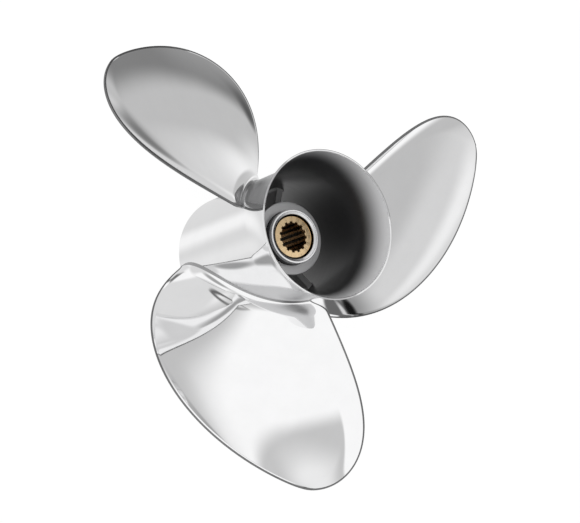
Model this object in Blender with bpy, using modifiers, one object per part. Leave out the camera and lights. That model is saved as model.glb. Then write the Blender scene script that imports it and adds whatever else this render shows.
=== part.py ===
"""Three-bladed through-hub exhaust boat propeller with a splined, rubber-cushioned hub.

The shaft axis is Z and +Z points aft, so the flared end of the barrel is on top and the part
stands on the flat front face of the barrel. The origin is the balance point on the shaft axis.
Heights in the constants are measured from that front face. Lengths are in metres.
"""
import math

import bmesh
import bpy
import numpy as np

OBJECT_NAME = "propeller"

# Balance point of the whole propeller, above the barrel's front face
BALANCE_HEIGHT = 0.0748

# Clearance between pieces that touch
GAP = 0.0003
BLADE_SEAT_GAP = 0.0004

# Barrel: a slightly tapered exhaust tube that flares out behind the blades
BARREL_LENGTH = 0.160
FRONT_RADIUS = 0.0574
WAIST_RADIUS = 0.0537
WAIST_HEIGHT = 0.122
RIM_RADIUS = 0.0592
FLARE_POWER = 2.0
FRONT_BORE = 0.0532
WAIST_BORE = 0.0506
RIM_LIP = 0.0016
EDGE_CHAMFER = 0.0008
FLARE_STEPS = 7
BARREL_SIDES = 60

# Inner hub, carried inside the barrel by three ribs
HUB_RADIUS = 0.0311
HUB_FRONT = 0.014
HUB_REAR = 0.0983
HUB_SIDES = 48
RIB_THICKNESS = 0.0065
RIB_REAR = 0.067
RIB_COUNT = 3
FIRST_RIB_DEG = 51.0

# Hub kit: steel sleeve, rubber cushion and splined brass sleeve
SLEEVE_OUTER = 0.0225
SLEEVE_INNER = 0.0187
SLEEVE_FRONT = 0.0122
SLEEVE_REAR = 0.1073
SLEEVE_DISH = 0.0011
SLEEVE_LAND = 0.0016
BRASS_COLLAR = 0.0172
BRASS_BODY = 0.0150
BRASS_FRONT = 0.0118
BRASS_REAR = 0.1046
COLLAR_LENGTH = 0.0056
CUSHION_FRONT = 0.016
SPLINE_TEETH = 15
SPLINE_MAJOR = 0.0127
SPLINE_MINOR = 0.0114
GROOVE_SHARE = 0.52
GROOVE_TAPER = 0.8

# Blades: outline laws of s, which runs from 0 at the root circle to 1 at the tip
BLADE_COUNT = 3
TIP_RADIUS = 0.200
ROOT_RADIUS = 0.0568
TIP_HEIGHT = 0.1382
PITCH = 0.458
TIP_PITCH_LOSS = 0.23
TRAILING_SPAN_DEG = 18.25
TRAILING_POWER = 3.2
CORNER_RELIEF_DEG = 8.0
CORNER_SHARE = 0.09
LEADING_SPAN_DEG = (75.0, -51.0, 63.0, -72.0)
LEADING_POWER = 3.0
RAKE = (0.0254, 0.0224, -0.0080)

# Blade section
ROOT_THICKNESS = 0.0085
TIP_THICKNESS = 0.0030
LEADING_EDGE = 0.0012
TRAILING_EDGE = 0.0020
CAMBER = (0.004, 0.024, -0.057, -0.100)
CAMBER_LEAN = (0.19, -0.035)
CUP_RISE = 0.0040
CUP_WIDTH = 0.016
CUP_FADE = 4
FILLET = 0.0075
FILLET_LOSS = 0.6
TIP_CUT = 0.9994
ROWS = 20
CHORD_STEPS = 20
SEAT_STEPS = 5

# Surface finishes: colour, metallic, roughness
FINISHES = {
    "polished_steel": ((0.80, 0.80, 0.81), 1.0, 0.12),
    "cast_steel": ((0.42, 0.42, 0.43), 1.0, 0.45),
    "turned_steel": ((0.70, 0.70, 0.72), 1.0, 0.25),
    "brass": ((0.72, 0.50, 0.24), 1.0, 0.30),
    "rubber": ((0.02, 0.02, 0.02), 0.0, 0.75),
}


def clear_scene():
    """Removes every object, so the script starts from an empty scene."""
    for old in list(bpy.data.objects):
        bpy.data.objects.remove(old, do_unlink=True)


def make_collection(name):
    """Returns a collection of this name, linked to the scene."""
    collection = bpy.data.collections.new(name)
    bpy.context.scene.collection.children.link(collection)
    return collection


def make_material(name):
    """Returns a Principled material with the finish of this name."""
    colour, metallic, roughness = FINISHES[name]
    material = bpy.data.materials.new(name)
    material.use_nodes = True
    shader = material.node_tree.nodes["Principled BSDF"]
    shader.inputs["Base Color"].default_value = (*colour, 1.0)
    shader.inputs["Metallic"].default_value = metallic
    shader.inputs["Roughness"].default_value = roughness
    material.diffuse_color = (*colour, 1.0)
    return material


def level(height):
    """Z of a height that is measured from the barrel's front face."""
    return height - BALANCE_HEIGHT


def barrel_radius(height):
    """Outer radius of the barrel: a straight taper to the waist, then a power-law flare to the rim."""
    taper = FRONT_RADIUS + (WAIST_RADIUS - FRONT_RADIUS) * np.minimum(height / WAIST_HEIGHT, 1.0)
    along = np.maximum(height - WAIST_HEIGHT, 0.0) / (BARREL_LENGTH - WAIST_HEIGHT)
    return taper + (RIM_RADIUS - WAIST_RADIUS) * along ** FLARE_POWER


def barrel_bore(height):
    """Inner radius of the barrel, which follows the flare and leaves a thin lip at the rim."""
    taper = FRONT_BORE + (WAIST_BORE - FRONT_BORE) * np.minimum(height / WAIST_HEIGHT, 1.0)
    along = np.maximum(height - WAIST_HEIGHT, 0.0) / (BARREL_LENGTH - WAIST_HEIGHT)
    return taper + (RIM_RADIUS - RIM_LIP - WAIST_BORE) * along ** FLARE_POWER


def turned(name, profile, sides, finish, collection):
    """Turns a closed profile of (radius, height) points, outer side first and downwards, about Z."""
    mesh = bpy.data.meshes.new(name)
    count = len(profile)
    points = [(radius, 0.0, level(height)) for radius, height in profile]
    mesh.from_pydata(points, [(i, (i + 1) % count) for i in range(count)], [])
    mesh.materials.append(finish)
    piece = bpy.data.objects.new(name, mesh)
    collection.objects.link(piece)
    screw = piece.modifiers.new("Turn", "SCREW")
    screw.axis = "Z"
    screw.angle = math.tau
    screw.steps = sides
    screw.render_steps = sides
    screw.use_merge_vertices = True
    screw.merge_threshold = 0.00002
    screw.use_smooth_shade = True
    return piece


def extruded(name, outlines, thickness, collection):
    """Makes a flat 2D curve of closed outlines, extruded to the thickness about its own plane."""
    curve = bpy.data.curves.new(name, "CURVE")
    curve.dimensions = "2D"
    curve.fill_mode = "BOTH"
    curve.extrude = thickness / 2
    for outline in outlines:
        spline = curve.splines.new("POLY")
        spline.points.add(len(outline) - 1)
        for point, (x, y) in zip(spline.points, outline):
            point.co = (x, y, 0.0, 1.0)
        spline.use_cyclic_u = True
    piece = bpy.data.objects.new(name, curve)
    collection.objects.link(piece)
    return piece


def build_barrel(finish, collection):
    """Barrel: outer side from the rim down to the front face, then the exhaust bore back up."""
    flare = np.linspace(BARREL_LENGTH, WAIST_HEIGHT, FLARE_STEPS)
    outer = [(float(barrel_radius(height)), float(height)) for height in flare]
    front = [
        (FRONT_RADIUS, EDGE_CHAMFER),
        (FRONT_RADIUS - EDGE_CHAMFER, 0.0),
        (FRONT_BORE + EDGE_CHAMFER, 0.0),
        (FRONT_BORE, EDGE_CHAMFER),
    ]
    inner = [(float(barrel_bore(height)), float(height)) for height in flare[::-1]]
    return turned("barrel", outer + front + inner, BARREL_SIDES, finish, collection)


def ring_profile(outer, inner, rear, front):
    """Closed profile of a plain ring with chamfered outer edges."""
    return [
        (outer - EDGE_CHAMFER, rear),
        (outer, rear - EDGE_CHAMFER),
        (outer, front + EDGE_CHAMFER),
        (outer - EDGE_CHAMFER, front),
        (inner, front),
        (inner, rear),
    ]


def build_inner_hub(finish, collection):
    """Inner hub: the cast ring that holds the hub kit."""
    profile = ring_profile(HUB_RADIUS, SLEEVE_OUTER + GAP, HUB_REAR, HUB_FRONT)
    return turned("inner_hub", profile, HUB_SIDES, finish, collection)


def build_ribs(finish, collection):
    """Ribs: flat plates from the inner hub to the barrel's bore, standing along the axis."""
    half = RIB_THICKNESS / 2
    inner = HUB_RADIUS + GAP
    outline = [(inner, level(HUB_FRONT))]
    for height in (HUB_FRONT, RIB_REAR):
        reach = math.sqrt(float(barrel_bore(height)) ** 2 - half ** 2) - 2 * GAP
        outline.append((reach, level(height)))
    outline.append((inner, level(RIB_REAR)))
    for index in range(RIB_COUNT):
        rib = extruded(f"rib_{index + 1}", [outline], RIB_THICKNESS, collection)
        rib.data.materials.append(finish)
        turn = math.radians(FIRST_RIB_DEG + index * 360 / RIB_COUNT)
        rib.rotation_euler = (math.pi / 2, 0.0, turn)


def build_steel_sleeve(finish, collection):
    """Steel sleeve, pressed into the inner hub, with a flat land and a shallow dish at its rear face."""
    profile = [
        (SLEEVE_OUTER - SLEEVE_LAND, SLEEVE_REAR),
        (SLEEVE_OUTER - EDGE_CHAMFER / 2, SLEEVE_REAR),
        (SLEEVE_OUTER, SLEEVE_REAR - EDGE_CHAMFER / 2),
        (SLEEVE_OUTER, SLEEVE_FRONT),
        (SLEEVE_INNER, SLEEVE_FRONT),
        (SLEEVE_INNER, SLEEVE_REAR - SLEEVE_DISH),
    ]
    return turned("steel_sleeve", profile, HUB_SIDES, finish, collection)


def build_cushion(finish, collection):
    """Rubber cushion between the steel sleeve and the body of the brass sleeve."""
    rear = BRASS_REAR - COLLAR_LENGTH - GAP
    outer = SLEEVE_INNER - GAP
    inner = BRASS_BODY + GAP
    profile = [(outer, rear), (outer, CUSHION_FRONT), (inner, CUSHION_FRONT), (inner, rear)]
    return turned("rubber_cushion", profile, HUB_SIDES, finish, collection)


def spline_outline():
    """Outline of the shaft's teeth: circle arcs on the minor and major radii joined by slanted flanks."""
    step = math.tau / SPLINE_TEETH
    half_foot = step * GROOVE_SHARE / 2
    half_top = half_foot * GROOVE_TAPER
    outline = []
    for index in range(SPLINE_TEETH):
        middle = index * step
        for offset, radius in (
            (-half_foot, SPLINE_MINOR),
            (-half_top, SPLINE_MAJOR),
            (0.0, SPLINE_MAJOR),
            (half_top, SPLINE_MAJOR),
            (half_foot, SPLINE_MINOR),
        ):
            angle = middle + offset
            outline.append((radius * math.cos(angle), radius * math.sin(angle)))
    return outline


def build_spline_sleeve(finish, collection, cutters):
    """Brass sleeve: a turned body with a rear collar, its bore cut to the shaft's spline."""
    blank_bore = SPLINE_MINOR - 0.0004
    profile = [
        (BRASS_COLLAR - EDGE_CHAMFER / 2, BRASS_REAR),
        (BRASS_COLLAR, BRASS_REAR - EDGE_CHAMFER / 2),
        (BRASS_COLLAR, BRASS_REAR - COLLAR_LENGTH),
        (BRASS_BODY, BRASS_REAR - COLLAR_LENGTH),
        (BRASS_BODY, BRASS_FRONT),
        (blank_bore, BRASS_FRONT),
        (blank_bore, BRASS_REAR),
    ]
    sleeve = turned("spline_sleeve", profile, HUB_SIDES, finish, collection)

    length = BRASS_REAR - BRASS_FRONT
    outline = extruded("spline_outline", [spline_outline()], 2 * length, cutters)
    outline.location.z = level((BRASS_REAR + BRASS_FRONT) / 2)
    bpy.context.view_layer.update()
    graph = bpy.context.evaluated_depsgraph_get()
    mesh = bpy.data.meshes.new_from_object(outline.evaluated_get(graph))
    cutter = bpy.data.objects.new("spline_cutter", mesh)
    cutter.matrix_world = outline.matrix_world.copy()
    cutters.objects.link(cutter)
    bpy.data.objects.remove(outline, do_unlink=True)
    weld(mesh)
    cutter.hide_render = True
    cutter.display_type = "WIRE"

    cut = sleeve.modifiers.new("Spline", "BOOLEAN")
    cut.operation = "DIFFERENCE"
    cut.object = cutter
    return sleeve


def weld(mesh):
    """Merges the doubled points where an extruded outline's caps meet its sides."""
    shape = bmesh.new()
    shape.from_mesh(mesh)
    bmesh.ops.remove_doubles(shape, verts=shape.verts, dist=0.00001)
    shape.to_mesh(mesh)
    shape.free()


def blade_surface(s, w, side):
    """Point of a blade's face or back, in cylinder coordinates.

    s runs from the root circle to the tip and w from -1 at the leading edge to 1 at the trailing
    edge. The face is a helicoid of the given pitch on a raked, curved generator line, sunk by the
    camber and raised again by the cup; side 0 is the face, which looks aft, and 1 the back. The
    camber is a parabola across the blade that leans towards one edge, and bows aft at the root.
    The trailing edge is relieved at the root, where its corner runs round into the barrel.
    """
    radius = ROOT_RADIUS + (TIP_RADIUS - ROOT_RADIUS) * s
    inboard = 1 - s
    relief = CORNER_RELIEF_DEG * np.maximum(1 - s / CORNER_SHARE, 0) ** 2
    trailing = TRAILING_SPAN_DEG * np.sqrt(1 - s ** TRAILING_POWER) - relief
    spread = sum(term * s ** power for power, term in enumerate(LEADING_SPAN_DEG))
    leading = -spread * np.sqrt(1 - s ** LEADING_POWER)
    turn = leading + (trailing - leading) * (w + 1) / 2
    pitch = PITCH * (1 - TIP_PITCH_LOSS * s ** 6)
    generator = TIP_HEIGHT - sum(term * inboard ** (power + 1) for power, term in enumerate(RAKE))

    slope = np.arctan(pitch / (math.tau * radius))
    chord = np.radians(trailing - leading) * radius / np.cos(slope)
    from_edge = (1 - w) / 2 * chord
    curl = np.maximum(1 - from_edge / CUP_WIDTH, 0) ** 2
    cup = CUP_RISE * (1 - s ** CUP_FADE) * (1 - curl) * (1 + w) / 2
    share = sum(term * inboard ** power for power, term in enumerate(CAMBER))
    lean = CAMBER_LEAN[0] + CAMBER_LEAN[1] * inboard
    sunk = share * chord * (1 - w ** 2) * (1 - lean * w) + cup

    edge = LEADING_EDGE + (TRAILING_EDGE - LEADING_EDGE) * (w + 1) / 2
    middle = TIP_THICKNESS + (ROOT_THICKNESS - TIP_THICKNESS) * inboard ** 1.3
    thickness = edge + np.maximum(middle - edge, 0) * (1 - np.abs(w) ** 2.2)
    thickness = thickness * np.minimum(1, 0.5 + chord / 0.05)
    fillet = FILLET * (1 - FILLET_LOSS * ((1 + w) / 2) ** 2)
    rise = np.clip(1 - (radius - ROOT_RADIUS) / fillet, 0, 1)
    foot = fillet * (1 - np.sqrt(1 - rise ** 2)) * (1 - w ** 8)

    offset = np.where(side == 0, foot - sunk, -foot - sunk - thickness)
    angle = np.radians(turn) - offset * np.sin(slope) / radius
    height = generator + pitch * turn / 360 + offset * np.cos(slope)
    seat = barrel_radius(height) + BLADE_SEAT_GAP
    radius = seat + (TIP_RADIUS - seat) * s
    return radius, angle, height


def blade_grid():
    """Points of one blade: face and back grids, and the rows of its seat between them."""
    s = TIP_CUT * (1 - np.cos(np.linspace(0, math.pi, ROWS + 1))) / 2
    w = -np.cos(np.linspace(0, math.pi, CHORD_STEPS + 1))
    rows, chords = np.meshgrid(s, w, indexing="ij")
    face = blade_surface(rows, chords, 0)
    back = blade_surface(rows, chords, 1)
    share = (np.arange(1, SEAT_STEPS) / SEAT_STEPS)[:, None]
    angle = face[1][0] * (1 - share) + back[1][0] * share
    height = face[2][0] * (1 - share) + back[2][0] * share
    seat = (barrel_radius(height) + BLADE_SEAT_GAP, angle, height)
    return [np.stack(part, axis=-1) for part in (face, back, seat)]


def grid_faces(index, flip):
    """Quads of a grid of point numbers, turned over when flip is set."""
    quads = np.stack([index[:-1, :-1], index[:-1, 1:], index[1:, 1:], index[1:, :-1]], axis=-1)
    quads = quads.reshape(-1, 4)
    return quads[:, ::-1] if flip else quads


def build_blades(finish, collection):
    """Blades: lofted face and back, closed along both edges, at the tip and over the barrel seat."""
    face, back, seat = blade_grid()
    points = np.concatenate([part.reshape(-1, 3) for part in (face, back, seat)])
    face_index = np.arange(face[..., 0].size).reshape(face.shape[:2])
    back_index = face_index + face_index.size
    seat_index = np.arange(seat[..., 0].size).reshape(seat.shape[:2]) + 2 * face_index.size
    seat_rows = np.vstack([face_index[:1], seat_index, back_index[:1]])
    leading = np.stack([face_index[:, 0], back_index[:, 0]])
    trailing = np.stack([face_index[:, -1], back_index[:, -1]])
    tip = np.stack([face_index[-1], back_index[-1]])
    root_leading = seat_rows[:, 0]
    root_trailing = seat_rows[:, -1]
    quads = np.concatenate([
        grid_faces(face_index, True),
        grid_faces(back_index, False),
        grid_faces(seat_rows, False),
        grid_faces(leading[:, 1:], True),
        grid_faces(trailing[:, 1:], False),
        grid_faces(tip, True),
    ]).tolist()
    quads.append([*root_leading.tolist(), int(back_index[1, 0]), int(face_index[1, 0])])
    quads.append([*root_trailing.tolist()[::-1], int(face_index[1, -1]), int(back_index[1, -1])])
    for number in range(BLADE_COUNT):
        turn = number * math.tau / BLADE_COUNT
        x = points[:, 0] * np.cos(points[:, 1] + turn)
        y = points[:, 0] * np.sin(points[:, 1] + turn)
        mesh = bpy.data.meshes.new(f"blade_{number + 1}")
        mesh.from_pydata(np.stack([x, y, level(points[:, 2])], axis=1).tolist(), [], quads)
        mesh.materials.append(finish)
        mesh.shade_smooth()
        mesh.set_sharp_from_angle(angle=math.radians(40))
        collection.objects.link(bpy.data.objects.new(f"blade_{number + 1}", mesh))


def main():
    """Builds every piece of the propeller."""
    clear_scene()
    parts = make_collection(OBJECT_NAME)
    cutters = make_collection(OBJECT_NAME + "_cutters")
    finishes = {name: make_material(name) for name in FINISHES}
    build_barrel(finishes["polished_steel"], parts)
    build_blades(finishes["polished_steel"], parts)
    build_inner_hub(finishes["cast_steel"], parts)
    build_ribs(finishes["cast_steel"], parts)
    build_steel_sleeve(finishes["turned_steel"], parts)
    build_cushion(finishes["rubber"], parts)
    build_spline_sleeve(finishes["brass"], parts, cutters)


main()
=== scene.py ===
"""Looks of a polished three-bladed, through-hub exhaust propeller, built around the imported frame.

The shaft axis is Z and +Z points aft. Heights are measured from the barrel's front face, radii from
the shaft axis, and lengths are in metres. Every new piece is a numpy surface on a grid of two
parameters; its formula stands in the docstring of the method that makes it.
"""

import logging
import math
from dataclasses import dataclass, field, replace
from enum import Enum

import bpy
import numpy as np
from mathutils import Euler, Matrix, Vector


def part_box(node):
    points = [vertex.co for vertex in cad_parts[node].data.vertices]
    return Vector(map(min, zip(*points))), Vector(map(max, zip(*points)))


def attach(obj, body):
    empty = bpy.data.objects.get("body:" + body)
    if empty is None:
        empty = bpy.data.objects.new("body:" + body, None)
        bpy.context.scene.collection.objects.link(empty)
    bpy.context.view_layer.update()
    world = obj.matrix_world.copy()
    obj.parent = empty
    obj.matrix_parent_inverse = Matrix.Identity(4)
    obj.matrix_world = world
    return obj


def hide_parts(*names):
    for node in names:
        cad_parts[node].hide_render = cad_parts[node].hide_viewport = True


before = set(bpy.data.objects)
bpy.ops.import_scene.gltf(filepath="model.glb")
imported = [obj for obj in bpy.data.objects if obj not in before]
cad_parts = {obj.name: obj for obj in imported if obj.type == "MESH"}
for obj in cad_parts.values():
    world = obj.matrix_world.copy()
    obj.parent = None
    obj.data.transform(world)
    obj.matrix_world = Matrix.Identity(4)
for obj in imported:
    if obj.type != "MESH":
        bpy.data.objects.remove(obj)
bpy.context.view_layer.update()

LOG = logging.getLogger("propeller")
BODY = "root"
FRONT_FACE_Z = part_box("barrel")[0].z
BARREL_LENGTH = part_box("barrel")[1].z - FRONT_FACE_Z
BLADE_COUNT = 3
SAME_PLACE = 1e-7


class Slot(Enum):
    """Material slots of the record, one named for each new piece."""

    POLISHED = "polished_steel"
    CAST = "cast_steel"
    TURNED = "turned_steel"
    BRASS = "brass"
    RUBBER = "rubber"


def level(height: np.ndarray) -> np.ndarray:
    """Z of a height that is measured from the barrel's front face."""
    return height + FRONT_FACE_Z


def even_cosine(count: int) -> np.ndarray:
    """Numbers from 0 to 1 that crowd at both ends: (1 - cos(pi t)) / 2 for even t."""
    return (1 - np.cos(np.linspace(0, math.pi, count + 1))) / 2


def quads_of(index: np.ndarray) -> np.ndarray:
    """Quads of a grid of point numbers, facing along (second parameter) x (first parameter).

    Args:
        index: Point numbers, one row for each value of the first parameter.

    Returns:
        Array of quads, four point numbers each.
    """
    corners = [index[:-1, :-1], index[:-1, 1:], index[1:, 1:], index[1:, :-1]]
    return np.stack(corners, axis=-1).reshape(-1, 4)


def make_piece(name: str, points: np.ndarray, quads: np.ndarray, sharp_deg: float = 35.0,
               finish: np.ndarray | None = None) -> bpy.types.Object:
    """Puts points and quads into a mesh object, shaded smooth up to an angle.

    Points that share a place are made one, and a quad that loses a corner becomes a triangle.

    Args:
        name: Name of the piece.
        points: Array of shape (n, 3).
        quads: Array of quads as point numbers.
        sharp_deg: Edges that bend more than this stay sharp.
        finish: Number of each quad's material, or none for the first material everywhere.

    Returns:
        The linked object.
    """
    cells = np.round(points / SAME_PLACE)
    _, first, merged = np.unique(cells, axis=0, return_index=True, return_inverse=True)
    quads = merged.reshape(-1)[quads]
    faces = [list(dict.fromkeys(quad)) for quad in quads.tolist()]
    mesh = bpy.data.meshes.new(name)
    mesh.from_pydata(points[first].tolist(), [], [face for face in faces if len(face) > 2])
    if finish is not None:
        is_face = np.array([len(face) > 2 for face in faces])
        mesh.polygons.foreach_set("material_index", finish[is_face].astype(np.int32))
    mesh.shade_smooth()
    mesh.set_sharp_from_angle(angle=math.radians(sharp_deg))
    piece = bpy.data.objects.new(name, mesh)
    bpy.context.scene.collection.objects.link(piece)
    return piece


def place(piece: bpy.types.Object, slot: Slot, *nodes: str) -> None:
    """Puts a finished piece into the frame in place of its CAD nodes, and reports it.

    Args:
        piece: The piece, at the origin.
        slot: Its material slot; not used.
        *nodes: Names of the CAD nodes that it replaces.
    """
    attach(piece, BODY)
    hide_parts(*nodes)
    LOG.info("%s: %d faces, replaces %s", piece.name, len(piece.data.polygons), ", ".join(nodes))


def rounded(profile: list[tuple[float, float, float]], steps: int = 5) -> np.ndarray:
    """Closed profile with a round corner at each point.

    A corner of cut c at P, between unit directions a and b towards its neighbours, is the
    quadratic curve from P + c a through P to P + c b.

    Args:
        profile: (radius, height, cut) of each corner, in order.
        steps: Spans along each round corner.

    Returns:
        Array of (radius, height) points.
    """
    table = np.array(profile)
    corners, cuts = table[:, :2], table[:, 2:]
    before = np.roll(corners, 1, axis=0) - corners
    after = np.roll(corners, -1, axis=0) - corners
    start = corners + cuts * before / np.linalg.norm(before, axis=1, keepdims=True)
    end = corners + cuts * after / np.linalg.norm(after, axis=1, keepdims=True)
    t = np.linspace(0, 1, steps + 1)[None, :, None]
    curve = (1 - t) ** 2 * start[:, None] + 2 * t * (1 - t) * corners[:, None] + t ** 2 * end[:, None]
    flat = curve.reshape(-1, 2)
    return flat[np.linalg.norm(flat - np.roll(flat, 1, axis=0), axis=1) > SAME_PLACE]


def lathe(radius: np.ndarray, height: np.ndarray) -> tuple[np.ndarray, np.ndarray]:
    """Closed body around the axis from a grid of radii: point = (r cos a, r sin a, z).

    Args:
        radius: Radii, one row for each angle and one column for each point of the closed profile,
            which runs down the outer side and up the inner side.
        height: Heights on the same grid.

    Returns:
        Points and quads.
    """
    sides = radius.shape[0]
    angle = (np.arange(sides) * math.tau / sides)[:, None]
    points = np.stack([radius * np.cos(angle), radius * np.sin(angle), level(height)], axis=-1)
    index = np.arange(radius.size).reshape(radius.shape)
    index = np.vstack([index, index[:1]])
    index = np.hstack([index, index[:, :1]])
    return points.reshape(-1, 3), quads_of(index)


def turned(name: str, profile: np.ndarray, sides: int) -> bpy.types.Object:
    """Body of revolution: each (r, height) of a closed profile carried round the axis.

    Args:
        name: Name of the piece.
        profile: (radius, height) points, running down the outer side and up the inner side.
        sides: Points around the axis.

    Returns:
        The linked object.
    """
    grid = np.broadcast_to(profile[None], (sides, *profile.shape))
    return make_piece(name, *lathe(grid[..., 0], grid[..., 1]))


class Graph:
    """Adds nodes to one node tree; a socket as a value is linked, anything else is set."""

    def __init__(self, tree: bpy.types.NodeTree) -> None:
        """Takes the tree that the nodes go into."""
        self.tree = tree

    def add(self, kind: str, inputs: dict, **settings: object) -> bpy.types.Node:
        """Adds one node.

        Args:
            kind: Type name of the node.
            inputs: Values or sockets for its inputs, by name or number.
            **settings: Properties of the node.

        Returns:
            The new node.
        """
        node = self.tree.nodes.new(kind)
        for name, value in settings.items():
            setattr(node, name, value)
        for name, value in inputs.items():
            if isinstance(value, bpy.types.NodeSocket):
                self.tree.links.new(value, node.inputs[name])
            else:
                node.inputs[name].default_value = value
        return node

    def math(self, operation: str, *values: object) -> bpy.types.NodeSocket:
        """Output of a Math node with the given operation and inputs."""
        return self.add("ShaderNodeMath", dict(enumerate(values)), operation=operation).outputs[0]

    def dot(self, vector: bpy.types.NodeSocket, axis: np.ndarray) -> bpy.types.NodeSocket:
        """Output of the dot product of a vector and a fixed axis."""
        node = self.add("ShaderNodeVectorMath", {0: vector, 1: tuple(axis)}, operation="DOT_PRODUCT")
        return node.outputs["Value"]

    def radius(self, vector: bpy.types.NodeSocket) -> bpy.types.NodeSocket:
        """Output of the distance of a point from the Z axis."""
        inputs = {0: vector, 1: (1, 1, 0)}
        flat = self.add("ShaderNodeVectorMath", inputs, operation="MULTIPLY").outputs[0]
        return self.add("ShaderNodeVectorMath", {0: flat}, operation="LENGTH").outputs["Value"]

    def mix(self, share: bpy.types.NodeSocket, first: object, second: object) -> bpy.types.NodeSocket:
        """Output of a colour mix that goes from the first to the second."""
        return self.add("ShaderNodeMix", {0: share, 6: first, 7: second}, data_type="RGBA").outputs[2]

    def span(self, value: object, start: tuple[float, float], end: tuple[float, float],
             kind: str = "LINEAR") -> bpy.types.NodeSocket:
        """Output of a Map Range node.

        Args:
            value: The value to map.
            start: Range of the value.
            end: Range that it is taken to.
            kind: Interpolation of the node.

        Returns:
            The mapped value.
        """
        inputs = {"Value": value, "From Min": start[0], "From Max": start[1],
                  "To Min": end[0], "To Max": end[1]}
        return self.add("ShaderNodeMapRange", inputs, interpolation_type=kind).outputs[0]


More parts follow.
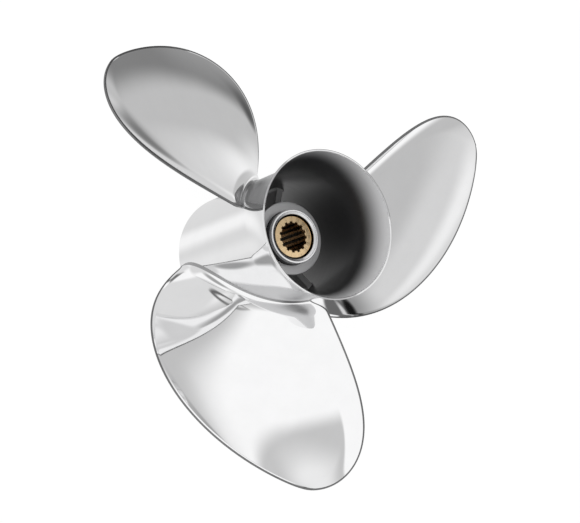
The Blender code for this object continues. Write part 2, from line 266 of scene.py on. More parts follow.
@dataclass(frozen=True)
class Metal:
    """A metal finish: colour, gloss, and the fine marks that its making leaves.

    The marks are noise on Object coordinates. Turned marks run round the axis, so their noise
    reads the radius and the height only; a polished or cast grain reads all three coordinates.
    Deep down, from the first to the second height of deep_shade_span, the metal fades to
    deep_shade_colour, a painted shade in the recess; deep_shade_tilt leans that fade by a slope
    along X and Y, so that the painted light reaches deeper on one side, and groove_shade_radii are
    the radii between which deep_shade_colour fades to groove_shade_colour, a painted shade in the
    grooves. Beside the foot of each blade the metal fades to satin_shade_colour, a painted shade in
    the crease there, and is rougher by satin_roughness; satin_turn in radians and satin_lead in
    radians per metre set the helix of that band.
    """

    name: str
    colour: tuple[float, float, float]
    roughness: float
    roughness_spread: float
    grain_scale: float
    grain_depth: float
    is_turned: bool = False
    shade_spread: float = 0.06
    deep_shade_colour: tuple[float, float, float] | None = None
    deep_shade_span: tuple[float, float] = (0.0, 0.1)
    deep_shade_tilt: tuple[float, float] = (0.0, 0.0)
    groove_shade_radii: tuple[float, float] = (1.0, 2.0)
    groove_shade_colour: tuple[float, float, float] = (0.01, 0.01, 0.01)
    metallic: float = 1.0
    noise_detail: float = 3.0
    noise_roughness: float = 0.55
    noise_range: tuple[float, float] = (0.25, 0.75)
    satin_shade_colour: tuple[float, float, float] | None = None
    satin_roughness: float = 0.27
    satin_turn: float = 0.454
    satin_lead: float = 6.11
    satin_fade: tuple[float, float] = (0.33, 0.55)

    def marks(self, graph: Graph) -> bpy.types.NodeSocket:
        """Noise of the making marks.

        Args:
            graph: The material's node graph.

        Returns:
            Value from 0 to 1.
        """
        place_of = graph.add("ShaderNodeTexCoord", {}).outputs["Object"]
        if self.is_turned:
            height = graph.dot(place_of, (0, 0, 1))
            place_of = graph.add("ShaderNodeCombineXYZ", {0: graph.radius(place_of), 2: height}).outputs[0]
        inputs = {"Vector": place_of, "Scale": self.grain_scale,
                  "Detail": self.noise_detail, "Roughness": self.noise_roughness}
        return graph.add("ShaderNodeTexNoise", inputs).outputs[0]

    def with_deep_shade(self, graph: Graph, tint: bpy.types.NodeSocket) -> bpy.types.NodeSocket:
        """The tint, fading deep down to a painted shade, darker still in its grooves.

        Args:
            graph: The material's node graph.
            tint: Colour of the metal near the open end.

        Returns:
            The colour at each point.
        """
        place_of = graph.add("ShaderNodeTexCoord", {}).outputs["Object"]
        start, end = (height + FRONT_FACE_Z for height in self.deep_shade_span)
        # Painted shade: deep down the tint gives way to a dark colour, darker still in the spline grooves.
        groove = graph.span(graph.radius(place_of), self.groove_shade_radii, (0.0, 1.0), "SMOOTHSTEP")
        deep = graph.mix(groove, (*self.deep_shade_colour, 1), (*self.groove_shade_colour, 1))
        # The tilt leans the painted shade, so that the painted light reaches deeper on one side.
        height = graph.dot(place_of, (*self.deep_shade_tilt, 1.0))
        share = graph.span(height, (start, end), (0.0, 1.0), "SMOOTHSTEP")
        return graph.mix(share, deep, tint)

    def satin_shade_share(self, graph: Graph) -> bpy.types.NodeSocket:
        """Share of the darker, rougher satin band, a painted shade: a helical band beside the foot of each
        blade.

        The share rises from 0 to 1 as cos(n (turn + satin_turn - satin_lead z)) crosses the
        range satin_fade, where n is the number of blades.

        Args:
            graph: The material's node graph.

        Returns:
            Value from 0 to 1.
        """
        place_of = graph.add("ShaderNodeTexCoord", {}).outputs["Object"]
        turn = graph.math("ARCTAN2", graph.dot(place_of, (0, 1, 0)), graph.dot(place_of, (1, 0, 0)))
        height = graph.dot(place_of, (0, 0, 1))
        lead = graph.math("MULTIPLY_ADD", height, -self.satin_lead, self.satin_turn)
        phase = graph.math("MULTIPLY", graph.math("ADD", turn, lead), float(BLADE_COUNT))
        return graph.span(graph.math("COSINE", phase), self.satin_fade, (0.0, 1.0), "SMOOTHSTEP")

    def build(self) -> bpy.types.Material:
        """Material whose colour, gloss and bump follow the marks."""
        material = bpy.data.materials.new(self.name)
        material.use_nodes = True
        graph = Graph(material.node_tree)
        shader = material.node_tree.nodes["Principled BSDF"]
        marks = self.marks(graph)
        darker = tuple(part * (1 - self.shade_spread) for part in self.colour)
        tint = graph.mix(marks, (*darker, 1), (*self.colour, 1))
        # Painted shade deep down, for the finishes that have a deep shade colour.
        if self.deep_shade_colour:
            tint = self.with_deep_shade(graph, tint)
        low, high = self.roughness - self.roughness_spread, self.roughness + self.roughness_spread
        gloss = graph.span(marks, self.noise_range, (low, high))
        # Painted shade beside each blade's foot: the satin band is darker, and also rougher.
        if self.satin_shade_colour:
            share = self.satin_shade_share(graph)
            tint = graph.mix(share, tint, (*self.satin_shade_colour, 1))
            gloss = graph.math("MULTIPLY_ADD", share, self.satin_roughness, gloss)
        inputs = {"Strength": 1.0, "Distance": self.grain_depth, "Height": marks}
        bump = graph.add("ShaderNodeBump", inputs)
        links = material.node_tree.links
        links.new(tint, shader.inputs["Base Color"])
        links.new(gloss, shader.inputs["Roughness"])
        links.new(bump.outputs[0], shader.inputs["Normal"])
        shader.inputs["Metallic"].default_value = self.metallic
        return material


@dataclass(frozen=True)
class Rubber:
    """Moulded black rubber with a fine even grain."""

    name: str = "moulded_rubber"
    colour: tuple[float, float, float] = (0.012, 0.012, 0.012)
    roughness: float = 0.7
    grain_scale: float = 900.0
    grain_depth: float = 0.00005
    paler_by: float = 2.0

    def build(self) -> bpy.types.Material:
        """Material of dark rubber whose grain is noise bump."""
        material = bpy.data.materials.new(self.name)
        material.use_nodes = True
        graph = Graph(material.node_tree)
        shader = material.node_tree.nodes["Principled BSDF"]
        place_of = graph.add("ShaderNodeTexCoord", {}).outputs["Object"]
        grain = graph.add("ShaderNodeTexNoise", {"Vector": place_of, "Scale": self.grain_scale}).outputs[0]
        paler = tuple(part * self.paler_by for part in self.colour)
        tint = graph.mix(grain, (*self.colour, 1), (*paler, 1))
        bump = graph.add("ShaderNodeBump", {"Distance": self.grain_depth, "Height": grain})
        material.node_tree.links.new(tint, shader.inputs["Base Color"])
        material.node_tree.links.new(bump.outputs[0], shader.inputs["Normal"])
        shader.inputs["Roughness"].default_value = self.roughness
        return material


POLISHED = Metal("mirror_polished_steel", (0.92, 0.92, 0.925), 0.035, 0.01, 60.0, 0.0000006)
# Barrel steel with a darker, rougher satin band beside each blade's foot: painted shade in the crease
# there.
BARREL = replace(POLISHED, name="polished_barrel_steel", satin_shade_colour=(0.60, 0.60, 0.606))
# Darker, rougher steel on each blade's fillet foot: painted shade in the crease at the barrel.
FOOT_SHADE = Metal("shaded_foot_steel", (0.40, 0.40, 0.404), 0.30, 0.02, 60.0, 0.0000006)
# Darker steel along the blade edges: painted shade standing in for the dark reflections there.
EDGE_SHADE = Metal("shaded_edge_steel", (0.21, 0.21, 0.212), 0.30, 0.05, 500.0, 0.000004)
# Bore steel that fades deep down to a painted shade, leaned so that the painted light reaches deeper on
# one side.
HORN = Metal("spun_bore_steel", (0.90, 0.90, 0.91), 0.33, 0.05, 500.0, 0.000004, is_turned=True,
             deep_shade_colour=(0.035, 0.035, 0.037), deep_shade_span=(0.142, 0.172), deep_shade_tilt=(-0.235, -0.086),
             metallic=0.0)
# Cast steel that fades to a painted shade deep inside the barrel.
CAST = Metal("fettled_cast_steel", (0.70, 0.70, 0.71), 0.42, 0.06, 700.0, 0.00002,
             deep_shade_colour=(0.20, 0.20, 0.202), deep_shade_span=(0.072, 0.097), metallic=0.5)
# Rib steel darker than the cast hub: painted shade deep inside the barrel.
RIB = Metal("shaded_rib_steel", (0.45, 0.45, 0.455), 0.45, 0.06, 700.0, 0.00002, metallic=0.2)
# Sleeve steel that fades to a painted shade below its rear face.
TURNED = Metal("turned_sleeve_steel", (0.86, 0.86, 0.87), 0.20, 0.05, 1500.0, 0.000010, is_turned=True,
               deep_shade_colour=(0.04, 0.04, 0.042), deep_shade_span=(0.1025, 0.1058))
# Brass that fades to a painted shade deep in the bore, near black in the spline grooves.
BRASS = Metal("turned_brass", (0.86, 0.64, 0.38), 0.26, 0.06, 1300.0, 0.000012, is_turned=True,
              deep_shade_colour=(0.50, 0.36, 0.22), deep_shade_span=(0.0985, 0.1042), groove_shade_radii=(0.0115, 0.0124))


@dataclass
class Barrel:
    """Exhaust barrel: a tapered tube that flares out behind the blades to a thin lip."""

    length: float = BARREL_LENGTH
    front_radius: float = 0.0574
    waist_radius: float = 0.0537
    waist_height: float = 0.122
    rim_radius: float = 0.0592
    flare_power: float = 2.0
    front_bore: float = 0.0532
    waist_bore: float = 0.0506
    rim_lip: float = 0.0016
    edge_cut: float = 0.0008
    lip_cut: float = 0.0006
    steps: int = 96
    sides: int = 288

    def flared(self, height: np.ndarray, front: float, waist: float, rim: float) -> np.ndarray:
        """Radius at a height: a straight taper to the waist, then a power-law flare to the rim.

        Args:
            height: Heights above the front face.
            front: Radius at the front face.
            waist: Radius at the waist.
            rim: Radius at the rim.

        Returns:
            Radius at each height.
        """
        taper = front + (waist - front) * np.minimum(height / self.waist_height, 1)
        along = np.maximum(height - self.waist_height, 0) / (self.length - self.waist_height)
        return taper + (rim - waist) * along ** self.flare_power

    def outside(self, height: np.ndarray) -> np.ndarray:
        """Outer radius at a height."""
        return self.flared(height, self.front_radius, self.waist_radius, self.rim_radius)

    def bore(self, height: np.ndarray) -> np.ndarray:
        """Inner radius at a height, which leaves the lip at the rim."""
        return self.flared(height, self.front_bore, self.waist_bore, self.rim_radius - self.rim_lip)

    def build(self, polish: bpy.types.Material, horn: bpy.types.Material) -> None:
        """Turns the wall: outside(h) downwards, the front face, then bore(h) upwards to the lip.

        Args:
            polish: Finish of the outside, the front face and the lip.
            horn: Finish of the bore.
        """
        inner_heights = np.linspace(self.edge_cut * 3, self.length - self.lip_cut * 2, self.steps)
        outer_heights = inner_heights[::-1]
        profile = [(float(self.outside(self.length)), self.length, self.lip_cut)]
        profile += [(float(self.outside(height)), float(height), 0.0) for height in outer_heights]
        profile += [(self.front_radius, 0.0, self.edge_cut), (self.front_bore, 0.0, self.edge_cut)]
        profile += [(float(self.bore(height)), float(height), 0.0) for height in inner_heights]
        profile += [(float(self.bore(self.length)), self.length, self.lip_cut)]
        piece = turned("barrel_shell", rounded(profile), self.sides)
        mesh = piece.data
        mesh.materials.append(polish)
        mesh.materials.append(horn)
        centre = np.empty(len(mesh.polygons) * 3)
        mesh.polygons.foreach_get("center", centre)
        centre = centre.reshape(-1, 3)
        height = centre[:, 2] - FRONT_FACE_Z
        middle = (self.outside(height) + self.bore(height)) / 2
        is_inside = (np.hypot(centre[:, 0], centre[:, 1]) < middle) & (height < self.length - self.lip_cut)
        mesh.polygons.foreach_set("material_index", is_inside.astype(np.int32))
        place(piece, Slot.POLISHED, "barrel")


@dataclass
class Blades:
    """Three wide, raked and cupped blades that grow out of the barrel through round fillets.

    s runs from 0 at the barrel to 1 at the tip, w from -1 at the leading edge to 1 at the trailing
    edge, depth from 0 on the face to 1 on the back, and inset is the distance in from the outline.
    The face looks aft. Fields that end in deg are degrees around the axis.
    """

    barrel: Barrel
    count: int = BLADE_COUNT
    tip_radius: float = 0.200
    root_radius: float = 0.0568
    tip_height: float = 0.1382
    pitch: float = 0.458
    tip_pitch_loss: float = 0.23
    pitch_loss_power: int = 6
    trailing_span_deg: float = 18.25
    trailing_power: float = 3.2
    corner_relief_deg: float = 8.0
    corner_share: float = 0.09
    leading_span_deg: tuple[float, ...] = (75.0, -51.0, 63.0, -72.0)
    leading_power: float = 3.0
    rake: tuple[float, ...] = (0.0254, 0.0224, -0.0080)
    root_thickness: float = 0.0085
    tip_thickness: float = 0.0030
    thinning_power: float = 1.3
    section_power: float = 2.2
    narrow_chord: float = 0.05
    narrow_share: float = 0.5
    leading_edge: float = 0.0012
    trailing_edge: float = 0.0020
    camber: tuple[float, ...] = (0.004, 0.024, -0.057, -0.100)
    camber_lean: tuple[float, float] = (0.19, -0.035)
    cup_rise: float = 0.0040
    cup_width: float = 0.016
    cup_fade: float = 4.0
    bevel_width: float = 0.0025
    bevel_depth: float = 0.0004
    fillet: float = 0.0075
    fillet_loss: float = 0.6
    fillet_end_loss: float = 0.7
    fillet_end_power: int = 8
    end_fillet: float = 0.004
    seat_depth: float = 0.0001
    widest_chord: float = 0.16
    edge_round: float = 0.0006
    edge_power: float = 0.6
    # Width of the edge band that takes the darker edge finish, a painted shade.
    edge_shade_band: float = 0.0014
    # Share of s at the root that takes the darker foot finish, a painted shade.
    foot_share: float = 0.007
    rows: int = 250
    chord_steps: int = 100
    edge_steps: int = 8

    def point(self, s: np.ndarray, w: np.ndarray, depth: np.ndarray, inset: np.ndarray) -> np.ndarray:
        """Points of the first blade.

        The outline is two power laws of s, one for each edge, and the trailing one is relieved at
        its corner with the barrel. The face is a helicoid of the pitch on a raked generator line,
        sunk by the camber, the cup's hollow and the nose's bevel, and raised by the fillet's foot;
        the back lies a thickness and another foot below it. An inset draws a point in from the
        outline, across the blade and towards the barrel, and all points meet at the tip.

        Args:
            s: Share of the way from the barrel to the tip.
            w: Place across the blade.
            depth: Share of the way from the face to the back.
            inset: Distance in from the outline.

        Returns:
            Array of points, one for each value of the arguments.
        """
        kept = 1 - inset / (self.tip_radius - self.root_radius)
        radius = self.root_radius + (self.tip_radius - self.root_radius) * s * kept
        inboard = 1 - s
        relief = self.corner_relief_deg * np.maximum(1 - s / self.corner_share, 0) ** 2
        trailing = self.trailing_span_deg * np.sqrt(1 - s ** self.trailing_power) - relief
        spread = sum(term * s ** power for power, term in enumerate(self.leading_span_deg))
        leading = -spread * np.sqrt(1 - s ** self.leading_power)
        middle_turn = (leading + trailing) / 2
        half_turn = (trailing - leading) / 2 * (1 - 2 * inset / self.widest_chord)
        pitch = self.pitch * (1 - self.tip_pitch_loss * s ** self.pitch_loss_power)
        generator = self.tip_height - sum(t * inboard ** (p + 1) for p, t in enumerate(self.rake))
        slope = np.arctan(pitch / (math.tau * radius))
        chord = np.radians(trailing - leading) * radius / np.cos(slope)

        from_barrel = radius - self.root_radius
        fillet = self.fillet * (1 - self.fillet_loss * ((1 + w) / 2) ** 2)
        rise = np.clip(1 - from_barrel / fillet, 0, 1)
        foot = fillet * (1 - np.sqrt(1 - rise ** 2))
        foot = foot * (1 - self.fillet_end_loss * w ** self.fillet_end_power)
        end_rise = np.clip(1 - from_barrel / self.end_fillet, 0, 1)
        end_foot = self.end_fillet * (1 - np.sqrt(1 - end_rise ** 2))
        turn = middle_turn + w * half_turn + (1 + w) / 2 * np.degrees(end_foot * np.cos(slope) / radius)

        from_edge = (1 - w) / 2 * chord
        curl = np.maximum(1 - from_edge / self.cup_width, 0) ** 2
        cup = self.cup_rise * (1 - s ** self.cup_fade) * (1 - curl) * (1 + w) / 2
        bevel = self.bevel_depth * np.maximum(1 - (1 + w) / 2 * chord / self.bevel_width, 0)
        sunk = self.hollow(inboard, w, chord) + cup + bevel * (1 - depth)
        edge = self.leading_edge + (self.trailing_edge - self.leading_edge) * (w + 1) / 2
        growth = inboard ** self.thinning_power
        middle = self.tip_thickness + (self.root_thickness - self.tip_thickness) * growth
        thickness = edge + np.maximum(middle - edge, 0) * (1 - np.abs(w) ** self.section_power)
        thickness = thickness * np.minimum(1, self.narrow_share + chord / self.narrow_chord)

        offset = foot - sunk - depth * (thickness + 2 * foot)
        angle = np.radians(turn) - offset * np.sin(slope) / radius
        height = generator + pitch * turn / 360 + offset * np.cos(slope)
        seat = self.barrel.outside(height) - self.seat_depth
        radius = seat + (self.tip_radius - seat) * s * kept
        return np.stack([radius * np.cos(angle), radius * np.sin(angle), level(height)], axis=-1)

    def hollow(self, inboard: np.ndarray, w: np.ndarray, chord: np.ndarray) -> np.ndarray:
        """Depth of the face's camber: a parabola across the blade, leaned towards one edge.

        Its share of the chord is a polynomial of the way in from the tip, and its lean a straight
        law; the outer blade is hollow on the face, and the root bows aft between its two ends.

        Args:
            inboard: Share of the way from the tip to the barrel.
            w: Place across the blade.
            chord: Width of the blade there.

        Returns:
            Depth at each point.
        """
        share = sum(term * inboard ** power for power, term in enumerate(self.camber))
        lean = self.camber_lean[0] + self.camber_lean[1] * inboard
        return share * chord * (1 - w ** 2) * (1 - lean * w)

    def section(self) -> tuple[np.ndarray, np.ndarray, np.ndarray]:
        """Loop round a section: the face, the blunt trailing edge, the back, the thin leading edge.

        The face and the back stop at the edge shade band, where the darker edge finish, a painted
        shade, begins. An edge runs round an arc t from 0 to pi, at depth (1 - cos t) / 2 and inset
        edge_round (1 - sin(t) ^ edge_power).

        Returns:
            w, depth and inset along the loop.
        """
        across = 2 * even_cosine(self.chord_steps) - 1
        arc = np.linspace(0, math.pi, self.edge_steps + 1)
        edge_depth = (1 - np.cos(arc)) / 2
        edge_inset = self.edge_round * (1 - np.abs(np.sin(arc)) ** self.edge_power)
        ones, whole = np.ones_like(arc), np.ones_like(across)
        w = np.concatenate([across, ones, across[::-1], -ones])
        depth = np.concatenate([0 * whole, edge_depth, whole, edge_depth[::-1]])
        band = self.edge_shade_band * whole
        inset = np.concatenate([band, edge_inset, band, edge_inset])
        return w, depth, inset

    def build(self, polish: bpy.types.Material, edge_shade: bpy.types.Material,
              foot: bpy.types.Material) -> None:
        """Lofts the section loop along s, closes the root, and turns a copy round for each blade.

        Args:
            polish: Finish of the face and the back.
            edge_shade: Darker finish of the edges, a painted shade, where the inset is below
                edge_shade_band.
            foot: Darker, rougher finish of the fillet's foot, a painted shade, where s is below
                foot_share.
        """
        w, depth, inset = self.section()
        s = even_cosine(self.rows)[:, None]
        rows = np.broadcast_to(s, (s.size, w.size))
        points = self.point(rows, w[None], depth[None], inset[None])
        index = np.arange(rows.size).reshape(rows.shape)
        ring = index[0]
        count = self.chord_steps + 1
        start = count + self.edge_steps + 1
        root = np.stack([ring[:count], ring[start:start + count][::-1]])
        quads = [quads_of(np.hstack([index, index[:, :1]]))[:, ::-1], quads_of(root)]
        # Edge quads take the darker edge finish and foot quads the darker foot finish: painted shade.
        is_edge = (inset < self.edge_shade_band) | (np.roll(inset, -1) < self.edge_shade_band)
        is_foot = np.repeat(s[:-1, 0] < self.foot_share, w.size)
        finish = np.where(is_foot, 2, np.tile(is_edge, self.rows))
        finish = np.concatenate([finish, np.zeros(len(quads[1]), int)])
        for number in range(self.count):
            turn = number * math.tau / self.count
            x = points[..., 0] * math.cos(turn) - points[..., 1] * math.sin(turn)
            y = points[..., 0] * math.sin(turn) + points[..., 1] * math.cos(turn)
            moved = np.stack([x, y, points[..., 2]], axis=-1).reshape(-1, 3)
            piece = make_piece(f"blade_surface_{number + 1}", moved, np.concatenate(quads), finish=finish)
            piece.data.materials.append(polish)
            piece.data.materials.append(edge_shade)
            piece.data.materials.append(foot)
            place(piece, Slot.POLISHED, f"blade_{number + 1}")


@dataclass
class HubKit:
    """Inner hub on three ribs, with the steel sleeve, rubber cushion and splined brass sleeve.

    Each build method makes one sub-assembly in the finish that it is given.
    """

    barrel: Barrel
    hub_radius: float = 0.0311
    hub_front: float = 0.014
    hub_rear: float = 0.0983
    hub_edge: float = 0.0009
    rib_thickness: float = 0.0065
    rib_rear: float = 0.067
    rib_fillet: float = 0.003
    rib_sink: float = 0.0002
    rib_count: int = 3
    rib_steps: int = 40
    rib_sides: int = 64
    rib_powers: tuple[float, float] = (0.25, 0.12)
    rib_sharp_deg: float = 50.0
    first_rib_deg: float = 51.0
    sleeve_outer: float = 0.0225
    sleeve_inner: float = 0.0187
    sleeve_front: float = 0.0122
    sleeve_rear: float = 0.1073
    sleeve_dish: float = 0.0011
    sleeve_land: float = 0.0016
    sleeve_step: float = 0.0003
    sleeve_cut: float = 0.0004
    sleeve_bore_cut: float = 0.0002
    land_cut: float = 0.0001
    brass_collar: float = 0.0172
    brass_body: float = 0.0150
    brass_front: float = 0.0118
    brass_rear: float = 0.1046
    collar_length: float = 0.0056
    collar_cut: float = 0.0004
    body_cut: float = 0.0003
    shoulder_cut: float = 0.0002
    bore_mouth: float = 0.0006
    bore_steps: int = 24
    mouth_steps: int = 4
    mouth_power: float = 1.5
    cushion_front: float = 0.016
    cushion_cut: float = 0.0006
    teeth: int = 15
    tooth_steps: int = 24
    spline_major: float = 0.0127
    spline_minor: float = 0.0114
    groove_share: float = 0.52
    groove_taper: float = 0.8
    gap: float = 0.0003
    sides: int = 192

    def build_hub(self, cast: bpy.types.Material) -> None:
        """Turns the inner hub, a plain ring with a round outer edge and a sharper bore, in cast steel."""
        bore = self.sleeve_outer + self.gap
        profile = [
            (self.hub_radius, self.hub_rear, self.hub_edge),
            (self.hub_radius, self.hub_front, self.hub_edge),
            (bore, self.hub_front, self.gap),
            (bore, self.hub_rear, self.gap),
        ]
        piece = turned("inner_hub_ring", rounded(profile), self.sides)
        piece.data.materials.append(cast)
        place(piece, Slot.CAST, "inner_hub")

    def build_ribs(self, cast: bpy.types.Material) -> None:
        """Lofts each rib along its radius.

        The section at x is a rounded rectangle, (cos a)^p across and (sin a)^q along the axis with
        the powers p and q of rib_powers. Its half thickness is t / 2 + f(x), where f is a round
        fillet at both ends. Each end follows its cylinder: x = sqrt(R^2 - y^2).
        """
        share = even_cosine(self.rib_steps)[:, None]
        arc = np.linspace(0, math.tau, self.rib_sides + 1)[:-1][None]
        bulge_y = np.sign(np.cos(arc)) * np.abs(np.cos(arc)) ** self.rib_powers[0]
        bulge_z = np.sign(np.sin(arc)) * np.abs(np.sin(arc)) ** self.rib_powers[1]
        middle = (self.rib_rear + self.hub_front) / 2
        half_height = (self.rib_rear - self.hub_front) / 2
        height = middle + half_height * bulge_z + 0 * share
        reach = self.barrel.bore(height) - self.hub_radius
        to_end = np.minimum(share, 1 - share) * reach
        rise = np.clip(1 - to_end / self.rib_fillet, 0, 1)
        flare = self.rib_fillet * (1 - np.sqrt(1 - rise ** 2))
        side = (self.rib_thickness / 2 + flare) * bulge_y
        inner = np.sqrt(self.hub_radius ** 2 - side ** 2) - self.rib_sink
        outer = np.sqrt(self.barrel.bore(height) ** 2 - side ** 2) + self.rib_sink
        out = inner + (outer - inner) * share
        index = np.arange(out.size).reshape(out.shape)
        loop = quads_of(np.hstack([index, index[:, :1]]))
        half = arc.size // 2
        caps = [quads_of(np.stack([end[:half + 1], np.append(end[half:], end[0])[::-1]]))
                for end in (index[0], index[-1])]
        quads = np.concatenate([loop, caps[0][:, ::-1], caps[1]])
        for number in range(self.rib_count):
            turn = math.radians(self.first_rib_deg) + number * math.tau / self.rib_count
            x = out * math.cos(turn) - side * math.sin(turn)
            y = out * math.sin(turn) + side * math.cos(turn)
            points = np.stack([x, y, level(height)], axis=-1).reshape(-1, 3)
            piece = make_piece(f"rib_casting_{number + 1}", points, quads, sharp_deg=self.rib_sharp_deg)
            piece.data.materials.append(cast)
            place(piece, Slot.CAST, f"rib_{number + 1}")

    def build_steel_sleeve(self, steel: bpy.types.Material) -> None:
        """Turns the steel sleeve: a flat land, a small step and a shallow dish on its rear face."""
        land = self.sleeve_outer - self.sleeve_land
        dish = self.sleeve_rear - self.sleeve_dish
        profile = [
            (self.sleeve_outer, self.sleeve_rear, self.sleeve_cut),
            (self.sleeve_outer, self.sleeve_front, self.sleeve_cut),
            (self.sleeve_inner, self.sleeve_front, self.sleeve_bore_cut),
            (self.sleeve_inner, dish, self.sleeve_step),
            (land, self.sleeve_rear - self.sleeve_step, self.land_cut),
            (land, self.sleeve_rear, self.land_cut),
        ]
        piece = turned("steel_sleeve_ring", rounded(profile), self.sides)
        piece.data.materials.append(steel)
        place(piece, Slot.TURNED, "steel_sleeve")

    def build_cushion(self, rubber: bpy.types.Material) -> None:
        """Turns the rubber cushion: a plain ring with round edges between the two sleeves."""
        rear = self.brass_rear - self.collar_length - self.gap
        outer, inner = self.sleeve_inner - self.gap, self.brass_body + self.gap
        profile = [
            (outer, rear, self.cushion_cut),
            (outer, self.cushion_front, self.cushion_cut),
            (inner, self.cushion_front, self.cushion_cut),
            (inner, rear, self.cushion_cut),
        ]
        piece = turned("rubber_cushion_ring", rounded(profile), self.sides)
        piece.data.materials.append(rubber)
        place(piece, Slot.RUBBER, "rubber_cushion")

    def spline_radius(self, angle: np.ndarray) -> np.ndarray:
        """Bore radius at an angle: the minor radius with one straight-sided groove for each tooth."""
        step = math.tau / self.teeth
        from_middle = np.abs((angle + step / 2) % step - step / 2)
        foot = step * self.groove_share / 2
        top = foot * self.groove_taper
        lift = np.clip((foot - from_middle) / (foot - top), 0, 1)
        return self.spline_minor + (self.spline_major - self.spline_minor) * lift

    def build_spline_sleeve(self, brass: bpy.types.Material) -> None:
        """Carries the sleeve's profile round the axis; its bore side follows spline_radius(angle)."""
        mouth = self.bore_mouth
        sides = self.teeth * self.tooth_steps
        angle = np.arange(sides) * math.tau / sides
        bore = self.spline_radius(angle)[:, None]
        shoulder = self.brass_rear - self.collar_length
        outer = rounded([
            (self.brass_collar, self.brass_rear, self.collar_cut),
            (self.brass_collar, shoulder, self.body_cut),
            (self.brass_body, shoulder, self.shoulder_cut),
            (self.brass_body, self.brass_front, self.body_cut),
        ])
        round_up = np.sin(np.linspace(0, math.pi / 2, self.mouth_steps + 1))
        inner_height = np.concatenate([
            [self.brass_front, self.brass_front + mouth],
            np.linspace(self.brass_front + 2 * mouth, self.brass_rear - 2 * mouth, self.bore_steps),
            self.brass_rear - mouth * (1 - round_up),
        ])
        to_mouth = np.clip(1 - (self.brass_rear - inner_height) / mouth, 0, 1)
        flare = mouth * to_mouth ** self.mouth_power
        inner = bore + flare[None]
        radius = np.hstack([np.broadcast_to(outer[None, :, 0], (sides, len(outer))), inner])
        height = np.broadcast_to(np.concatenate([outer[:, 1], inner_height])[None], radius.shape)
        piece = make_piece("spline_sleeve_brass", *lathe(radius, height))
        piece.data.materials.append(brass)
        place(piece, Slot.BRASS, "spline_sleeve")


@dataclass(frozen=True)
class Glow:
    """A soft-edged patch of the studio's light, seen only in reflections.

    The patch is an ellipse around a direction; its mask is 1 inside and falls smoothly to 0 over
    the soft share of its size, and the light there becomes the patch's tone.
    """

    azimuth: float
    elevation: float
    width: float
    height: float
    tone: float
    soft: float = 0.6
    roll: float = 0.0

    def frame(self) -> tuple[np.ndarray, np.ndarray, np.ndarray]:
        """Right, up and centre directions of the patch, after its roll."""
        lon, lat, roll = map(math.radians, (self.azimuth, self.elevation, self.roll))
        centre = np.array([math.cos(lat) * math.cos(lon), math.cos(lat) * math.sin(lon), math.sin(lat)])
        right = np.array([-math.sin(lon), math.cos(lon), 0])
        up = np.cross(centre, right)
        return (right * math.cos(roll) + up * math.sin(roll),
                up * math.cos(roll) - right * math.sin(roll), centre)

    def over(self, graph: Graph, direction: bpy.types.NodeSocket,
             tone: bpy.types.NodeSocket) -> bpy.types.NodeSocket:
        """Lays the patch over the tone so far.

        Args:
            graph: The world's node graph.
            direction: Unit vector of the direction looked in.
            tone: The tone under the patch.

        Returns:
            The tone with the patch on it.
        """
        right, up, centre = self.frame()
        ahead = graph.dot(direction, centre)
        across = graph.math("ARCTAN2", graph.dot(direction, right), ahead)
        along = graph.math("ARCTAN2", graph.dot(direction, up), ahead)
        across = graph.math("DIVIDE", across, math.radians(self.width) / 2)
        along = graph.math("DIVIDE", along, math.radians(self.height) / 2)
        reach = graph.math("SQRT", graph.math("ADD", graph.math("MULTIPLY", across, across),
                                              graph.math("MULTIPLY", along, along)))
        mask = graph.span(reach, (1 - self.soft, 1 + self.soft), (1.0, 0.0), "SMOOTHSTEP")
        mix = graph.add("ShaderNodeMix", {0: mask, 2: tone, 3: self.tone})
        return mix.outputs[0]


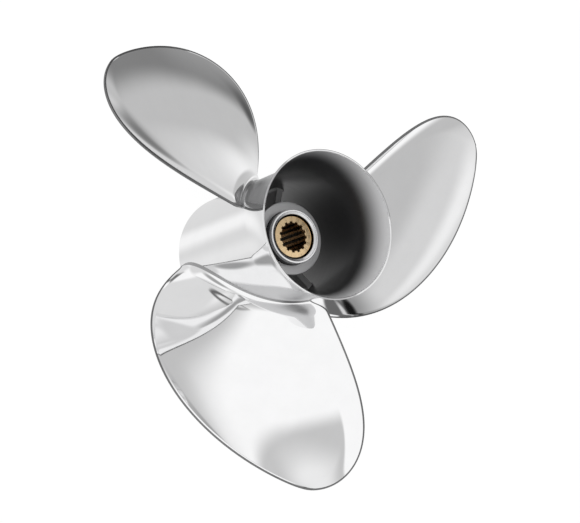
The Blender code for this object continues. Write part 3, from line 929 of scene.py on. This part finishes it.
@dataclass
class Studio:
    """Camera, pale floor and soft studio light around the propeller."""

    camera_place: tuple[float, float, float] = (0.22389, 0.30572, 0.61607)
    camera_turn_deg: tuple[float, float, float] = (10.4988, -30.5274, -149.0736)
    lens_mm: float = 52.569
    sensor_mm: float = 36.0
    floor_size: float = 6.0
    floor_glow: float = 0.93
    floor_colour: tuple[float, float, float] = (0.12, 0.12, 0.12)
    base_tone: float = 1.02
    tone_power: float = 2.2
    glows: list[Glow] = field(default_factory=lambda: [
        # Upper blade: dark corner, middle tone, light foot, light side, darkest corner, bright streak
        Glow(242, -5, 64, 110, 0.52, soft=0.15),
        Glow(258, -14, 60, 120, 0.77, soft=0.16, roll=-37),
        Glow(241, -56, 60, 54, 0.90, soft=0.6),
        Glow(256, -26, 14, 44, 0.85, soft=0.6),
        Glow(225.5, -3, 4.5, 17, 0.36, soft=0.9),
        Glow(248.3, -22, 5.5, 38, 1.00, soft=0.9, roll=-8),
        # Dark wall between the upper and the lower blade's light
        Glow(275, 0, 42, 130, 0.46, soft=0.05, roll=12),
        # Lower blade: grey cap, its light middle, grey below it, light side and a thin dark line
        Glow(283, 72, 62, 43.5, 0.80, soft=0.08, roll=70),
        Glow(302, 64.5, 17, 13, 0.96, soft=0.8, roll=60),
        Glow(311, 26, 96, 26, 0.78, soft=0.6),
        Glow(314, -4, 60, 44, 0.89, soft=0.15),
        Glow(337.3, 4, 54, 1.2, 0.40, soft=0.9, roll=65),
        # Right blade: light grey, darker side, light middle, bright top, then a dark foot in two
        # steps with a light and a black streak
        Glow(146, 46, 110, 60, 0.88, soft=0.2),
        Glow(160, 28, 110, 38, 0.77, soft=0.5),
        Glow(148, 52, 42, 34, 0.86, soft=0.4),
        Glow(146, 61, 40, 9, 0.98, soft=0.8),
        Glow(111, 34, 50, 18, 0.56, soft=0.9, roll=-45),
        Glow(106, 27, 60, 14, 0.42, soft=0.15, roll=-45),
        Glow(107, 31, 34, 2.5, 0.85, soft=0.6, roll=-45),
        Glow(111, 34, 34, 4.5, 0.12, soft=0.5, roll=-45),
        # Barrel: light grey with two light bands, and the dark seam above the lower blade
        Glow(345, -72, 110, 56, 0.885, soft=0.15),
        Glow(353, -60, 14, 40, 1.00, soft=0.8),
        Glow(45, -60, 14, 30, 0.94, soft=0.8),
        Glow(6, -10, 18, 40, 0.66, soft=0.5),
        # Back of the upper blade, mirrored in the lower one
        Glow(10, -40, 70, 20, 0.88, soft=0.3),
    ])

    def build_camera(self) -> None:
        """Camera at the photograph's viewing angle."""
        camera = bpy.data.objects.new("camera", bpy.data.cameras.new("camera"))
        camera.data.lens = self.lens_mm
        camera.data.sensor_width = self.sensor_mm
        camera.location = self.camera_place
        camera.rotation_euler = Euler([math.radians(turn) for turn in self.camera_turn_deg], "XYZ")
        bpy.context.scene.collection.objects.link(camera)
        bpy.context.scene.camera = camera

    def build_floor(self) -> None:
        """Pale floor under the front face: it glows evenly and takes a faint contact shadow."""
        half = self.floor_size / 2
        corners = [(-half, -half), (half, -half), (half, half), (-half, half)]
        mesh = bpy.data.meshes.new("floor")
        mesh.from_pydata([(x, y, FRONT_FACE_Z) for x, y in corners], [], [(0, 1, 2, 3)])
        floor = bpy.data.objects.new("floor", mesh)
        bpy.context.scene.collection.objects.link(floor)
        material = bpy.data.materials.new("pale_floor")
        material.use_nodes = True
        shader = material.node_tree.nodes["Principled BSDF"]
        shader.inputs["Base Color"].default_value = (*self.floor_colour, 1)
        shader.inputs["Roughness"].default_value = 1.0
        shader.inputs["Specular IOR Level"].default_value = 0.0
        shader.inputs["Emission Color"].default_value = (1, 1, 1, 1)
        shader.inputs["Emission Strength"].default_value = self.floor_glow
        mesh.materials.append(material)
        floor.visible_glossy = False
        floor.visible_diffuse = False

    def build_light(self) -> None:
        """World light: an even tone with the patches laid over it in order, then made linear."""
        world = bpy.data.worlds.new("studio")
        bpy.context.scene.world = world
        world.use_nodes = True
        graph = Graph(world.node_tree)
        direction = graph.add("ShaderNodeTexCoord", {}).outputs["Generated"]
        tone = graph.math("ADD", self.base_tone, 0.0)
        for glow in self.glows:
            tone = glow.over(graph, direction, tone)
        background = world.node_tree.nodes["Background"]
        linear = graph.math("POWER", tone, self.tone_power)
        world.node_tree.links.new(linear, background.inputs["Color"])
        background.inputs["Strength"].default_value = 1.0

    def build(self) -> None:
        """Sets up the whole studio."""
        self.build_camera()
        self.build_floor()
        self.build_light()
        bpy.context.scene.view_settings.view_transform = "Standard"


def main() -> None:
    """Builds the studio and each sub-assembly in order, and reports every piece."""
    logging.basicConfig(level=logging.INFO, format="%(name)s: %(message)s")
    Studio().build()
    polish, cast = POLISHED.build(), CAST.build()
    barrel = Barrel()
    barrel.build(BARREL.build(), HORN.build())
    Blades(barrel).build(polish, EDGE_SHADE.build(), FOOT_SHADE.build())
    kit = HubKit(barrel)
    kit.build_hub(cast)
    kit.build_ribs(RIB.build())
    kit.build_steel_sleeve(TURNED.build())
    kit.build_cushion(Rubber().build())
    kit.build_spline_sleeve(BRASS.build())


if __name__ == "__main__":
    main()
